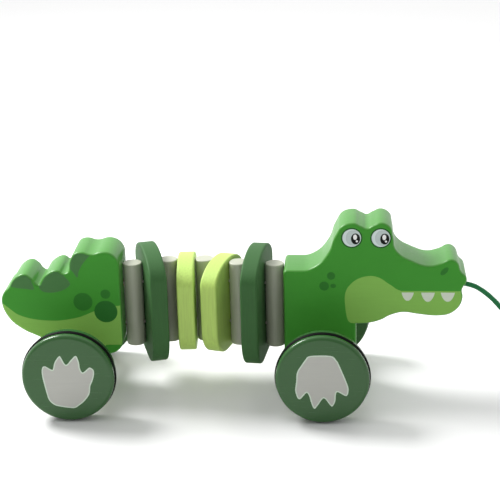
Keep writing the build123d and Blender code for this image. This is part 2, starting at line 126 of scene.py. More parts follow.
LOBE_BACK = [(-45.5, 33.0)]
LOBE_BOTTOM = (-30.1, 18.0)
TAIL_FLAT_END = (-18.5, 28.6)
TAIL_BOTTOM_Z = 28.6
TAIL_CORNER = 10.5

BLOCK_EDGE = 1.6          # rounding along the blocks' long edges
CREASE_REACH = 0.9        # how far the rounding reaches on each side of a crease
CREASE_POINTS = 7         # points along that rounding
OUTLINE_STEP = 0.7        # spacing of the points along an outline
TURN_STEP = 0.1           # and the most that the outline turns between them, radians
STRAIGHT = 1e-6           # an arc that turns less than this is drawn as a line
SAME_WAY = 1e-4           # two directions closer than this count as the same

# ---- Holes in the two blocks, mm --------------------------------------------------
AXLE_HOLE_R = 4.06
STRING_HOLE_R = 2.4
STRING_HEIGHTS = (45.0, 73.0)
HEAD_WELL_X = 12.0
TAIL_WELL_X = -14.0
WELL_R = 3.6
WELL_TOP = 78.0
MOUTH_WELL_X = 100.0
MOUTH_WELL_R = 4.5
MOUTH_WELL_TOP = 79.0
CORD_HOLE_R = 1.9
CORD_Z = 74.0             # height of the hole that the pull cord comes out of
HOLE_SIDES = 48
PAST = 1.0                # how far a cutter of a string hole or a well starts outside

# ---- Printed areas ----------------------------------------------------------------
PRINT_EDGE = 0.8          # the print stops this far inside the silhouette, so a rim of the darker base green shows round it; this width was chosen as painted shade, for the dark line along the bottom of the jaw
WHOLE_FACE = [(-150, -10), (150, -10), (150, 150), (-150, 150)]
CHEEK = [(44.4, 51.7), (42.4, 52.1), (40.8, 54.0), (39.6, 59.2), (38.9, 68.9),
         (39.9, 74.4), (42.0, 77.6), (44.8, 80.4), (48.3, 82.5), (52.0, 83.6),
         (56.2, 83.9), (60.0, 83.0), (62.9, 81.5), (65.7, 79.3), (68.5, 77.4),
         (71.4, 75.2), (74.6, 73.8)]
BELOW_JAW = [(120.0, 73.8), (120.0, 49.0), (46.8, 49.0), (46.8, 51.7)]
TOOTH_TOP = 72.8
# Teeth: where the left and right sides meet the mouth, and the height of the tip.
TEETH = [(74.8, 82.4, 67.4), (87.1, 95.6, 66.8), (99.4, 108.2, 66.9)]
EYES = [(43.3, 109.3), (61.5, 109.2)]
# What lies in an eye: the print, its offset from the eye's middle, its half sizes.
EYE_PARTS = [("eye_ring", 0, 0, 6.7, 6.7), ("eye_white", 0, 0, 5.8, 5.8),
             ("eye_shade", 0.9, 0, 4.6, 5.2), ("pupil", 2.4, -0.6, 2.85, 3.6),
             ("glint", 2.1, 0.5, 1.2, 1.8), ("glint", 3.2, -2.2, 0.7, 0.7)]
NOSTRIL = (101.4, 87.2, 1.7, 3.3, -42)    # middle, half sizes, tilt in degrees
# Spots: the middle, and half the width and height.
HEAD_SPOTS = [(30.3, 83.9, 2.6, 2.6), (25.9, 77.0, 3.1, 3.1), (31.6, 77.1, 1.8, 1.44)]
BELLY = [(-80.0, 66.8), (-77.9, 65.1), (-74.8, 62.6), (-70.5, 58.8), (-67.3, 56.6),
         (-60.9, 54.3), (-54.4, 53.1), (-47.8, 52.6), (-41.3, 52.6), (-34.6, 53.5),
         (-28.0, 54.9), (-22.6, 57.0), (-17.0, 59.4), (-9.0, 61.8), (-1.3, 62.9),
         (3.0, 63.2)]
BELOW_BELLY = [(3.0, 35.5), (-11.3, 35.5), (-20.0, 24.0), (-20.0, 10.0), (-80.0, 10.0)]
TAIL_SPOT = (-10.3, 58.8, 7.5, 7.5)
FAINT_TAIL_SPOTS = [(-24.8, 65.6, 6.2, 6.2), (-9.9, 70.9, 3.2, 3.2)]
ABOVE_SCALE = 10          # a scale's print reaches this far past its own points
FIRST_SCALE = [(-75.0, 78.0), (-72.3, 76.6), (-67.2, 75.2), (-61.5, 74.6), (-56.4, 74.0),
               (-56.3, 76.6), (-57.4, 80.0), (-58.6, 86.0)]
SECOND_SCALE = [(-52.2, 80.0), (-52.6, 75.6), (-50.6, 72.9), (-46.5, 72.0),
                (-41.8, 72.3), (-36.2, 74.2), (-32.4, 77.4), (-33.2, 80.2),
                (-35.4, 82.8), (-37.8, 87.0)]
THIRD_SCALE = [(-34.0, 88.6), (-31.8, 88.0), (-29.6, 85.4), (-28.0, 82.6),
               (-26.9, 83.0), (-26.2, 86.4), (-23.2, 91.8), (-19.2, 96.4), (-15.8, 99.5)]

# Paws, mm from a wheel's middle, with the toes down in front and up behind.
FRONT_PAW = [(-7.4, 16.8), (5.0, 17.0), (8.7, 14.0), (10.5, 10.6), (15.5, -2.3),
             (16.1, -7.1), (15.2, -9.8), (13.6, -9.8), (8.9, -7.5), (8.0, -13.4),
             (7.0, -16.1), (5.8, -17.4), (4.2, -15.8), (0.8, -11.7), (-2.6, -16.2),
             (-4.8, -19.0), (-6.1, -17.7), (-7.3, -14.2), (-8.2, -10.5), (-9.8, -8.1),
             (-12.0, -10.5), (-13.9, -12.5), (-15.4, -11.9), (-16.3, -9.5),
             (-16.9, -6.1), (-16.2, -0.6), (-15.9, 4.2), (-14.9, 7.3), (-13.0, 10.3),
             (-10.5, 14.1)]
REAR_PAW = [(-9.6, -17.8), (-6.5, -18.9), (-0.1, -19.9), (3.7, -19.9), (6.4, -18.1),
            (9.7, -15.3), (13.2, -10.4), (14.2, -4.8), (15.7, -1.4), (16.9, 2.8),
            (16.8, 6.2), (14.6, 7.9), (13.0, 6.9), (10.3, 4.6), (9.1, 5.2), (8.3, 7.6),
            (7.9, 11.7), (6.3, 15.8), (3.3, 13.4), (-0.4, 9.7), (-3.0, 14.4),
            (-4.3, 15.6), (-7.3, 11.6), (-8.5, 7.5), (-9.2, 6.3), (-11.1, 7.2),
            (-13.5, 8.7), (-15.1, 8.2), (-15.9, 5.8), (-15.9, 2.0), (-15.0, -3.6),
            (-13.9, -9.8), (-12.6, -14.7)]
PAW_THICKNESS = 0.24      # half of it stands proud of the wheel
PAW_EDGE = 0.08
PAW_BORDER = 0.75         # width of the lighter line round a paw

# ---- The pull cord's route, mm ----------------------------------------------------
CORD_R = 1.6
CORD_STEP = 0.55          # spacing of the rings along the braid
CORD_RELIEF = 0.12        # how deep the braid's furrows are
CORD_STRANDS = 4
CORD_PITCH = 11           # length in which a strand winds once round
CORD_ROUTE = [(137.5, 0.0, 74.0), (151.5, 0.0, 74.0), (163.5, -0.6, 67.2),
              (174.5, -1.6, 55.6), (184.0, -3.0, 42.4), (192.0, -4.0, 28.0),
              (200.5, -3.6, 14.4), (212.0, -0.2, 4.4)]
END_ROUTE = [(216.5, 44.0, 5.2), (207.0, 45.0, 7.3), (188.1, 46.05, 10.5)]
COIL_MIDDLE = (226.0, 24.0)
COIL_OUTER_R = 19.65
COIL_INNER_R = 16.35
COIL_LOW_Z = 1.65
COIL_HIGH_Z = 4.95
COIL_TURNS = 3.5
POINTS_PER_TURN = 18
SHIFT_SHARE = 0.15        # share of a turn over which the cord changes its lane

KNOT_WIDTH = 3.3          # half the end knot's width
KNOT_LENGTH = 5.6
KNOT_STRAND_R = 1.25
KNOT_PITCH = 9
KNOT_BEYOND = 2.6         # from the end of the route to the knot's middle

TIE_AT = 150              # where the tie goes round the coil, degrees
TIE_HALF_WIDTH = 3.55
TIE_TOP = 6.95
TIE_BOTTOM = 0.45
TIE_CORNER = 1.5
TIE_R = 0.42
TIE_STEP = 0.3
TIE_RELIEF = 0.05
TIE_STRANDS = 3
TIE_PITCH = 3


# ---- Materials --------------------------------------------------------------------
def linear(value):
    """A display value from 0 to 255 as linear light."""
    share = value / 255
    return share / 12.92 if share <= 0.04045 else ((share + 0.055) / 1.055) ** 2.4


def colour(red, green, blue):
    """A display colour as a shader colour."""
    return (linear(red), linear(green), linear(blue), 1.0)


class Shader:
    """A material's node tree, with short ways to add and join nodes."""

    def __init__(self, name, roughness, **sockets):
        self.material = bpy.data.materials.new(name)
        self.material.use_nodes = True
        self.tree = self.material.node_tree
        self.surface = self.tree.nodes["Principled BSDF"]
        self.surface.inputs["Roughness"].default_value = roughness
        for socket, value in sockets.items():
            self.surface.inputs[socket.replace("_", " ")].default_value = value

    def add(self, kind, **inputs):
        """A node with its inputs set from values or from other sockets."""
        node = self.tree.nodes.new(kind)
        for name, value in inputs.items():
            self.set(node.inputs[name.replace("_", " ")], value)
        return node

    def set(self, socket, value):
        """Gives a socket a value or a link."""
        if isinstance(value, bpy.types.NodeSocket):
            self.tree.links.new(value, socket)
        else:
            socket.default_value = value

    def place(self, scale=(1, 1, 1)):
        """Object coordinates, stretched."""
        where = self.add("ShaderNodeTexCoord").outputs["Object"]
        return self.add("ShaderNodeMapping", Vector=where, Scale=scale).outputs["Vector"]

    def noise(self, scale, detail=3.0, stretch=(1, 1, 1), roughness=0.5):
        """A noise value over the object."""
        node = self.add("ShaderNodeTexNoise", Vector=self.place(stretch), Scale=scale,
                        Detail=detail, Roughness=roughness)
        return node.outputs["Fac"]

    def span(self, value, low, high, from_low=0.3, from_high=0.7):
        """A value carried over to another range."""
        node = self.add("ShaderNodeMapRange", Value=value)
        node.inputs["From Min"].default_value = from_low
        node.inputs["From Max"].default_value = from_high
        node.inputs["To Min"].default_value = low
        node.inputs["To Max"].default_value = high
        return node.outputs["Result"]

    def mix(self, share, first, second):
        """A colour between two others."""
        node = self.tree.nodes.new("ShaderNodeMix")
        node.data_type = "RGBA"
        self.set(node.inputs["Factor"], share)
        colours = [socket for socket in node.inputs if socket.type == "RGBA"]
        self.set(colours[0], first)
        self.set(colours[1], second)
        return next(socket for socket in node.outputs if socket.type == "RGBA")

    def bump(self, height, strength, distance, normal=None):
        """A bump from a height."""
        node = self.add("ShaderNodeBump", Height=height, Strength=strength,
                        Distance=distance)
        if normal is not None:
            self.set(node.inputs["Normal"], normal)
        return node.outputs["Normal"]

    def finished(self, tint, normal, roughness=None):
        """The material, with what varies over it joined to its shader."""
        self.set(self.surface.inputs["Base Color"], tint)
        if roughness is not None:
            self.set(self.surface.inputs["Roughness"], roughness)
        self.set(self.surface.inputs["Normal"], normal)
        return self.material


def shade(base, factor):
    """A colour made darker or lighter."""
    return tuple(min(1.0, value * factor) for value in base[:3]) + (1.0,)


GRAIN_ALONG = {"X": (0.06, 1, 1), "Y": (1, 0.06, 1), "Z": (1, 1, 0.06)}


def painted_wood(name, base, grain="X", roughness=0.4, depth=0.4, coat=0.1, shine=0.5):
    """Paint over wood: the grain shows faintly in its colour, gloss and relief."""
    shader = Shader(name, roughness, Coat_Weight=coat, Coat_Roughness=0.22,
                    Specular_IOR_Level=shine)
    fibres = shader.noise(900, 4, GRAIN_ALONG[grain], 0.6)
    clouds = shader.noise(28, 2)
    darkest, lightest = shade(base, 1 - 0.09 * depth), shade(base, 1 + 0.07 * depth)
    toned = shader.mix(shader.span(fibres, 0, 1), darkest, lightest)
    tinted = shader.mix(shader.span(clouds, 0, 0.35), toned, shade(base, 0.9))
    rough = shader.span(fibres, roughness - 0.05, roughness + 0.07)
    orange_peel = shader.bump(shader.noise(2600, 2), strength=0.10, distance=0.00006)
    grained = shader.bump(fibres, strength=0.16 * depth, distance=0.00012, normal=orange_peel)
    return shader.finished(tinted, grained, rough)


def print_on_wood(name, base):
    """Matte printed colour on a flat wooden face."""
    return painted_wood(name, base, roughness=0.5, depth=0.3, coat=0.0, shine=0.15)


def bare_wood(name, base):
    """Sanded beech with fine dark fibres that run across the toy."""
    shader = Shader(name, roughness=0.6)
    fibres = shader.noise(700, 5, GRAIN_ALONG["Y"], 0.65)
    rays = shader.noise(160, 2, GRAIN_ALONG["Y"])
    fine = shader.mix(shader.span(fibres, 0, 1), shade(base, 0.78), shade(base, 1.12))
    toned = shader.mix(shader.span(rays, 0, 0.4), fine, shade(base, 0.7))
    return shader.finished(toned, shader.bump(fibres, strength=0.3, distance=0.0002))


def rubber(name, base):
    """Matte rubber with a fine tooth."""
    shader = Shader(name, roughness=0.6, Specular_IOR_Level=0.1)
    grit = shader.noise(3000, 3)
    toned = shader.mix(shader.span(grit, 0, 1), shade(base, 0.8), shade(base, 1.3))
    return shader.finished(toned, shader.bump(grit, strength=0.2, distance=0.0001))


def yarn(name, base):
    """Braided fibre, with lighter worn threads."""
    shader = Shader(name, roughness=0.75, Sheen_Weight=0.25, Sheen_Roughness=0.4)
    threads = shader.noise(4200, 3)
    patches = shader.noise(220, 2)
    toned = shader.mix(shader.span(threads, 0, 1), shade(base, 0.7), shade(base, 1.3))
    tinted = shader.mix(shader.span(patches, 0, 0.3), toned, shade(base, 0.75))
    return shader.finished(tinted, shader.bump(threads, strength=0.5, distance=0.0002))


LEAF = colour(66, 152, 50)

MATERIALS = {
    "leaf": painted_wood("leaf_green_paint", colour(68, 142, 46)),
    "leaf_face": print_on_wood("leaf_green_print", LEAF),
    "belly": print_on_wood("belly_green_print", colour(136, 192, 88)),
    "scale": print_on_wood("scale_green_print", colour(74, 124, 70)),
    "spot": print_on_wood("spot_green_print", colour(42, 112, 42)),
    "faint_spot": print_on_wood("faint_spot_print", colour(48, 122, 42)),
    "cream": print_on_wood("cream_print", colour(214, 224, 206)),
    "eye_white": print_on_wood("eye_white_print", colour(218, 232, 230)),
    "eye_shade": print_on_wood("eye_shade_print", colour(196, 210, 208)),
    "eye_ring": print_on_wood("eye_ring_print", colour(34, 92, 34)),
    "pupil": print_on_wood("pupil_print", colour(6, 12, 8)),
    "glint": print_on_wood("glint_print", colour(250, 252, 250)),
    "paw": print_on_wood("paw_print", colour(188, 189, 182)),
    "paw_edge": print_on_wood("paw_edge_print", colour(208, 224, 206)),
    "dark_upright": painted_wood("dark_green_paint", colour(58, 100, 54), "Z", roughness=0.6,
                                 depth=1.2, coat=0.0, shine=0.2),
    "dark_wheel": painted_wood("dark_green_wheel_paint", colour(52, 95, 49), roughness=0.22,
                               coat=0.2, shine=0.3),
    "lime": painted_wood("lime_paint", colour(186, 218, 112), "Z", roughness=0.5, depth=1.2,
                         coat=0.0, shine=0.3),
    "grey": painted_wood("grey_paint", colour(184, 187, 168), "Z", depth=0.8),
    "ball": painted_wood("ball_paint", LEAF, "Z", roughness=0.35),
    "wood": bare_wood("bare_beech", colour(206, 170, 122)),
    "rubber": rubber("black_rubber", colour(5, 6, 5)),
    "cord": yarn("green_cord_yarn", colour(6, 116, 62)),
    "string": yarn("white_string_yarn", colour(222, 220, 210)),
}


# ---- Flat curves ------------------------------------------------------------------
def unit(vector):
    """A vector of length 1."""
    return vector / np.linalg.norm(vector)


def turned(vector, angle):
    """A plane vector turned anticlockwise."""
    cos, sin = math.cos(angle), math.sin(angle)
    return np.array([vector[0] * cos - vector[1] * sin, vector[0] * sin + vector[1] * cos])


def arc_points(start, end, way):
    """Points after start, up to end, on the arc that leaves start in a direction."""
    chord = end - start
    length = np.linalg.norm(chord)
    cross = way[0] * chord[1] - way[1] * chord[0]
    angle = math.atan2(cross, way @ chord)
    count = max(1, math.ceil(length / OUTLINE_STEP), math.ceil(abs(angle) / TURN_STEP))
    points = []
    for index in range(1, count + 1):
        share = index / count
        if abs(angle) < STRAIGHT:
            reach = share
        else:
            reach = math.sin(angle * share) / math.sin(angle)
        points.append(start + turned(way, angle * share) * length * reach)
    points[-1] = end
    return points


def two_arcs(start, start_way, end, end_way):
    """Points on two arcs that leave and reach their points in the given directions."""
    run = end - start
    both = start_way + end_way
    spread = 2 * (1 - start_way @ end_way)
    if spread < SAME_WAY:
        reach = run @ run / (4 * run @ end_way)
    else:
        along = run @ both
        reach = (math.sqrt(along ** 2 + spread * (run @ run)) - along) / spread
    joint = (start + end + (start_way - end_way) * reach) / 2
    last = unit(end - joint)
    middle_way = 2 * (last @ end_way) * last - end_way
    return arc_points(start, joint, start_way) + arc_points(joint, end, middle_way)


def smooth(*points, ways):
    """Points after the first one along a smooth run of arcs through points."""
    places = [np.array(point, float) for point in points]
    directions = [unit(np.array(ways[0], float))]
    for before, at, after in zip(places, places[1:], places[2:]):
        run_in, run_out = at - before, after - at
        near, far = np.linalg.norm(run_in), np.linalg.norm(run_out)
        directions.append(unit(run_in * far / near + run_out * near / far))
    directions.append(unit(np.array(ways[1], float)))
    result = []
    for index in range(len(places) - 1):
        result += two_arcs(places[index], directions[index],
                           places[index + 1], directions[index + 1])
    return result


def straight(start, end):
    """Points after start on a line."""
    start, end = np.array(start, float), np.array(end, float)
    return arc_points(start, end, unit(end - start))


def bend(start, end, way):
    """Points after start on the arc that leaves it in a direction."""
    return arc_points(np.array(start, float), np.array(end, float),
                      unit(np.array(way, float)))


def softened(outline, crease):
    """The outline, which must have the crease among its points, with that rounded off."""
    index = int(np.argmin(np.linalg.norm(outline - np.array(crease), axis=1)))
    away = np.linalg.norm(outline - outline[index], axis=1)
    first = index
    while away[first] < CREASE_REACH:
        first -= 1
    last = index
    while away[last] < CREASE_REACH:
        last += 1
    share = np.linspace(0, 1, CREASE_POINTS)[:, None]
    start, tip, end = outline[first], outline[index], outline[last]
    round_part = start * (1 - share) ** 2 + tip * 2 * share * (1 - share) + end * share ** 2
    return np.vstack([outline[:first], round_part, outline[last + 1:]])


def head_outline():
    """The crocodile's head, neck and chest."""
    level, back, down, up = (1, 0), (-1, 0), (0, -1), (0, 1)
    chest_x = CHEST_TOP[0]
    low_z = HEAD_BOTTOM_Z + HEAD_CORNER
    points = straight((0, low_z), (0, HEAD_TOP_Z - HEAD_TOP_CORNER))
    points += bend((0, HEAD_TOP_Z - HEAD_TOP_CORNER), (HEAD_TOP_CORNER, HEAD_TOP_Z), up)
    points += straight((HEAD_TOP_CORNER, HEAD_TOP_Z), NECK_START)
    points += smooth(NECK_START, *NECK, FIRST_EYE_TOP, ways=(level, level))
    points += smooth(FIRST_EYE_TOP, *BROW, SECOND_EYE_TOP, ways=(level, level))
    points += smooth(SECOND_EYE_TOP, *FOREHEAD, SNOUT_DIP, ways=(level, level))
    points += smooth(SNOUT_DIP, *SNOUT, SNOUT_TOP, ways=(level, level))
    points += smooth(SNOUT_TOP, *NOSTRIL_BUMP, NOSE_CREASE, ways=(level, NOSE_WAY))
    points += smooth(NOSE_CREASE, NOSE_TIP, MOUTH_CORNER, ways=(NOSE_WAY, MOUTH_WAY))
    points += smooth(MOUTH_CORNER, *CHIN, CHIN_BOTTOM, ways=(MOUTH_WAY, back))
    points += smooth(CHIN_BOTTOM, *JAW, JAW_RISE, ways=(back, back))
    points += smooth(JAW_RISE, *THROAT, CHEST_TOP, ways=(back, back))
    points += straight(CHEST_TOP, (chest_x, low_z))
    points += bend((chest_x, low_z), (chest_x - HEAD_CORNER, HEAD_BOTTOM_Z), down)
    points += straight((chest_x - HEAD_CORNER, HEAD_BOTTOM_Z), (HEAD_CORNER, HEAD_BOTTOM_Z))
    points += bend((HEAD_CORNER, HEAD_BOTTOM_Z), (0, low_z), back)
    return np.array(points)


def tail_outline():
    """The crocodile's back, tail tip and belly."""
    back, ahead, up, down = (-1, 0), (1, 0), (0, 1), (0, -1)
    corner_z = TAIL_BOTTOM_Z + TAIL_CORNER
    points = smooth(TAIL_FACE_TOP, *TAIL_SHOULDER, FOURTH_HUMP, ways=(up, back))
    points += smooth(FOURTH_HUMP, *BACK_DIP, THIRD_HUMP, ways=(back, back))
    points += smooth(THIRD_HUMP, *THIRD_HUMP_END, THIRD_CREASE, ways=(back, (-0.15, -1)))
    points += smooth(THIRD_CREASE, *SECOND_HUMP_START, SECOND_HUMP, ways=((-1, -0.6), back))
    points += smooth(SECOND_HUMP, *SECOND_HUMP_END, SECOND_CREASE, ways=(back, (-0.5, -1)))
    points += smooth(SECOND_CREASE, *FIRST_HUMP_START, FIRST_HUMP, ways=((-1, 0.2), back))
    points += smooth(FIRST_HUMP, *FIRST_HUMP_END, TIP_CREASE, ways=(back, (-0.4, -1)))
    points += smooth(TIP_CREASE, *TIP_TOP, TIP, ways=((-1, -0.9), down))
    points += smooth(TIP, *TAIL_UNDERSIDE, TAIL_UNDER_END, ways=(down, (1, -0.5)))
    points += smooth(TAIL_UNDER_END, *LOBE_BACK, LOBE_BOTTOM, ways=((1, -0.5), ahead))
    points += smooth(LOBE_BOTTOM, TAIL_FLAT_END, ways=(ahead, ahead))
    points += straight(TAIL_FLAT_END, (-TAIL_CORNER, TAIL_BOTTOM_Z))
    points += bend((-TAIL_CORNER, TAIL_BOTTOM_Z), (0, corner_z), ahead)
    points += straight((0, corner_z), TAIL_FACE_TOP)
    outline = np.array(points)
    for crease in (THIRD_CREASE, SECOND_CREASE, TIP_CREASE):
        outline = softened(outline, crease)
    return outline


def ellipse(x, z, half_x, half_z, tilt=0.0, count=48):
    """An ellipse, tilted in degrees."""
    angles = np.linspace(0, 2 * math.pi, count, endpoint=False)
    flat = np.stack([half_x * np.cos(angles), half_z * np.sin(angles)], axis=1)
    return np.array([turned(point, math.radians(tilt)) for point in flat]) + (x, z)


def spline_through(points, closed=True, steps=5):
    """A soft curve through points, which keeps close to its corners."""
    points = np.array(points, float)
    count = len(points)
    result = []
    for index in range(count if closed else count - 1):
        if closed:
            p0, p1, p2, p3 = (points[(index + k - 1) % count] for k in range(4))
        else:
            p0 = points[max(index - 1, 0)]
            p1, p2 = points[index], points[index + 1]
            p3 = points[min(index + 2, count - 1)]
        for step in range(steps):
            t = step / steps
            result.append(0.5 * (2 * p1 + (p2 - p0) * t + (2 * p0 - 5 * p1 + 4 * p2 - p3) * t ** 2
                                 + (3 * p1 - p0 - 3 * p2 + p3) * t ** 3))
    if not closed:
        result.append(points[-1])
    return np.array(result)


def tooth(left, right, tip):
    """A rounded tooth that hangs from the mouth line."""
    width = right - left
    drop = TOOTH_TOP - tip
    middle = (left + right) / 2
    shape = [(left, TOOTH_TOP), (left + 0.06 * width, TOOTH_TOP - 0.35 * drop),
             (left + 0.2 * width, tip + 0.25 * drop), (middle - 0.12 * width, tip),
             (middle + 0.12 * width, tip), (right - 0.2 * width, tip + 0.25 * drop),
             (right - 0.06 * width, TOOTH_TOP - 0.35 * drop), (right, TOOTH_TOP)]
    return spline_through(shape, closed=False)


def head_print():
    """The printed areas of the head, from the lowest layer to the topmost."""
    zones = [("leaf_face", np.array(WHOLE_FACE)),
             ("belly", np.vstack([spline_through(CHEEK, closed=False), BELOW_JAW]))]
    zones += [("faint_spot", ellipse(*spot)) for spot in HEAD_SPOTS]
    zones += [("cream", tooth(*sides_and_tip)) for sides_and_tip in TEETH]
    zones.append(("faint_spot", ellipse(*NOSTRIL)))
    for x, z in EYES:
        for key, ahead, above, half_x, half_z in EYE_PARTS:
            zones.append((key, ellipse(x + ahead, z + above, half_x, half_z)))
    return zones


def tail_print():
    """The printed areas of the tail, from the lowest layer to the topmost."""
    zones = [("leaf_face", np.array(WHOLE_FACE)),
             ("belly", np.vstack([spline_through(BELLY, closed=False), BELOW_BELLY]))]
    zones += [("faint_spot", ellipse(*spot)) for spot in FAINT_TAIL_SPOTS]
    zones.append(("spot", ellipse(*TAIL_SPOT)))
    for scale in (FIRST_SCALE, SECOND_SCALE, THIRD_SCALE):
        above = max(z for _, z in scale) + ABOVE_SCALE
        beyond = [(scale[-1][0], above), (scale[0][0], above)]
        zones.append(("scale", np.vstack([spline_through(scale, closed=False), beyond])))
    return zones


# ---- Slabs with printed faces -----------------------------------------------------
ROUNDING_STEP = 15        # degrees from ring to ring over a rounded rim
LAST_RING = 0.2           # width of the ring inside the rounding, less on a thin slab
SHARP = 32                # an edge that bends by more than this stays sharp, degrees
MERGE_WITHIN = 1e-5       # points of a slab closer than this become one, mm


def is_inside(points, polygon):
    """Which points lie inside a polygon."""
    x, z = points[:, 0, None], points[:, 1, None]
    x1, z1 = polygon[:, 0], polygon[:, 1]
    x2, z2 = np.roll(x1, -1), np.roll(z1, -1)
    rise = np.where(z2 == z1, 1, z2 - z1)
    crossing = ((z1 > z) != (z2 > z)) & (x < (x2 - x1) * (z - z1) / rise + x1)
    return crossing.sum(axis=1) % 2 == 1


def depth_inside(points, outline):
    """How far each point is from the outline."""
    run = np.roll(outline, -1, axis=0) - outline
    offset = points[:, None, :] - outline[None]
    share = np.clip((offset * run).sum(2) / (run * run).sum(1), 0, 1)
    nearest = offset - share[..., None] * run
    return np.sqrt((nearest ** 2).sum(2).min(1))


def inset(outline, depth):
    """The outline moved inwards; it runs anticlockwise."""
    before = np.roll(outline, 1, axis=0)
    after = np.roll(outline, -1, axis=0)
    normals = []
    for near in (outline - before, after - outline):
        way = near / np.linalg.norm(near, axis=1)[:, None]
        normals.append(np.stack([-way[:, 1], way[:, 0]], axis=1))
    both = normals[0] + normals[1]
    both /= np.linalg.norm(both, axis=1)[:, None]
    stretch = 1 / np.maximum((both * normals[0]).sum(1), 0.5)
    return outline + both * stretch[:, None] * depth


def area(polygon):
    """The signed area of a polygon, positive when it runs anticlockwise."""
    x, z = polygon[:, 0], polygon[:, 1]
    return 0.5 * np.sum(x * np.roll(z, -1) - np.roll(x, -1) * z)


def new_object(name, vertices, faces, materials, choice, to_world, sharp=SHARP):
    """A mesh object with a material for each face."""
    mesh = bpy.data.meshes.new(name)
    mesh.from_pydata([tuple(v) for v in vertices], [], [tuple(f) for f in faces])
    for key in materials:
        mesh.materials.append(MATERIALS[key])
    mesh.polygons.foreach_set("material_index", np.array(choice, np.int32))
    mesh.transform(to_world)
    mesh.validate()
    mesh.update()
    piece = bpy.data.objects.new(name, mesh)
    bpy.context.scene.collection.objects.link(piece)
    finish_shading(piece, sharp)
    return piece


def finish_shading(piece, sharp=SHARP):
    """Smooth faces, with the edges above an angle kept sharp."""
    piece.data.polygons.foreach_set("use_smooth", [True] * len(piece.data.polygons))
    piece.data.set_sharp_from_angle(angle=math.radians(sharp))
    piece.data.update()


def slab(name, outline, thickness, edge, base, zones, to_world, margin=0.0):
    """A board with rounded rims and the same print on both faces, up to a margin."""
    if area(outline) < 0:
        outline = outline[::-1]
    leans = np.radians(np.arange(0, 90 + ROUNDING_STEP, ROUNDING_STEP))
    depths = [edge * (1 - math.cos(lean)) for lean in leans[1:]]
    depths.append(edge + LAST_RING * min(edge, 1))
    rings = [outline] + [inset(outline, depth) for depth in depths]
    points, edges = [], []
    for loop in rings + [polygon for _, polygon in zones]:
        first = len(points)
        count = len(loop)
        points += [Vector((float(p[0]), float(p[1]))) for p in loop]
        edges += [(first + k, first + (k + 1) % count) for k in range(count)]
    flat, _, triangles, *_ = delaunay_2d_cdt(points, edges, [], 0, MERGE_WITHIN)
    flat = np.array([(p.x, p.y) for p in flat])
    triangles = np.array(triangles)
    middles = flat[triangles].mean(1)
    keep = is_inside(middles, outline)
    triangles, middles = triangles[keep], middles[keep]
    printed = is_inside(middles, inset(outline, margin))
    keys = [base]
    choice = np.zeros(len(triangles), int)
    for key, polygon in zones:
        if key not in keys:
            keys.append(key)
        choice[is_inside(middles, polygon) & printed] = keys.index(key)
    depth = depth_inside(flat, outline)
    lean = np.arccos(np.clip(1 - depth / edge, 0, 1))
    height = thickness / 2 - edge + edge * np.sin(lean)
    return closed_board(name, flat, height, triangles, choice, keys, to_world)


def closed_board(name, flat, height, triangles, choice, keys, to_world):
    """Both faces of a board from one triangulated face, and the wall between them."""
    used = np.unique(triangles)
    rank = np.full(len(flat), -1)
    rank[used] = np.arange(len(used))
    triangles = rank[triangles]
    flat, height = flat[used], height[used]
    count = len(flat)
    near = np.column_stack([flat[:, 0], -height, flat[:, 1]])
    far = np.column_stack([flat[:, 0], height, flat[:, 1]])
    triangles = triangles.tolist()
    sides = dict.fromkeys(side for a, b, c in triangles for side in ((a, b), (b, c), (c, a)))
    wall = [(a, a + count, b + count, b) for a, b in sides if (b, a) not in sides]
    faces = triangles + [[c + count, b + count, a + count] for a, b, c in triangles] + wall
    choices = list(choice) * 2 + [0] * len(wall)
    return new_object(name, np.vstack([near, far]), faces, keys, choices, to_world)


def cylinder_between(start, end, radius, to_world):
    """A cutter for a round hole."""
    start, end = Vector(start), Vector(end)
    mesh = bpy.data.meshes.new("cutter")
    builder = bmesh.new()
    turn = (end - start).to_track_quat("Z", "Y").to_matrix().to_4x4()
    place = Matrix.Translation((start + end) / 2) @ turn
    bmesh.ops.create_cone(builder, cap_ends=True, segments=HOLE_SIDES, radius1=radius,
                          radius2=radius, depth=(end - start).length, matrix=place)
    builder.to_mesh(mesh)
    builder.free()
    mesh.materials.append(MATERIALS["wood"])
    mesh.transform(to_world)
    cutter = bpy.data.objects.new("cutter", mesh)
    bpy.context.scene.collection.objects.link(cutter)
    return cutter


def drill(piece, holes, to_world):
    """Cuts round holes, each from a start to an end with a radius, and leaves bare wood."""
    for start, end, radius in holes:
        cutter = cylinder_between(start, end, radius, to_world)
        modifier = piece.modifiers.new("hole", "BOOLEAN")
        modifier.object = cutter
        modifier.operation = "DIFFERENCE"
        modifier.solver = "EXACT"
        modifier.material_mode = "TRANSFER"
        seen = bpy.context.evaluated_depsgraph_get()
        mesh = bpy.data.meshes.new_from_object(piece.evaluated_get(seen))
        piece.modifiers.clear()
        piece.data = mesh
        bpy.data.objects.remove(cutter)
    finish_shading(piece)


def axle_hole(x, z):
    """A hole from side to side through a block."""
    return (x, -BLOCK_T, z), (x, BLOCK_T, z), AXLE_HOLE_R


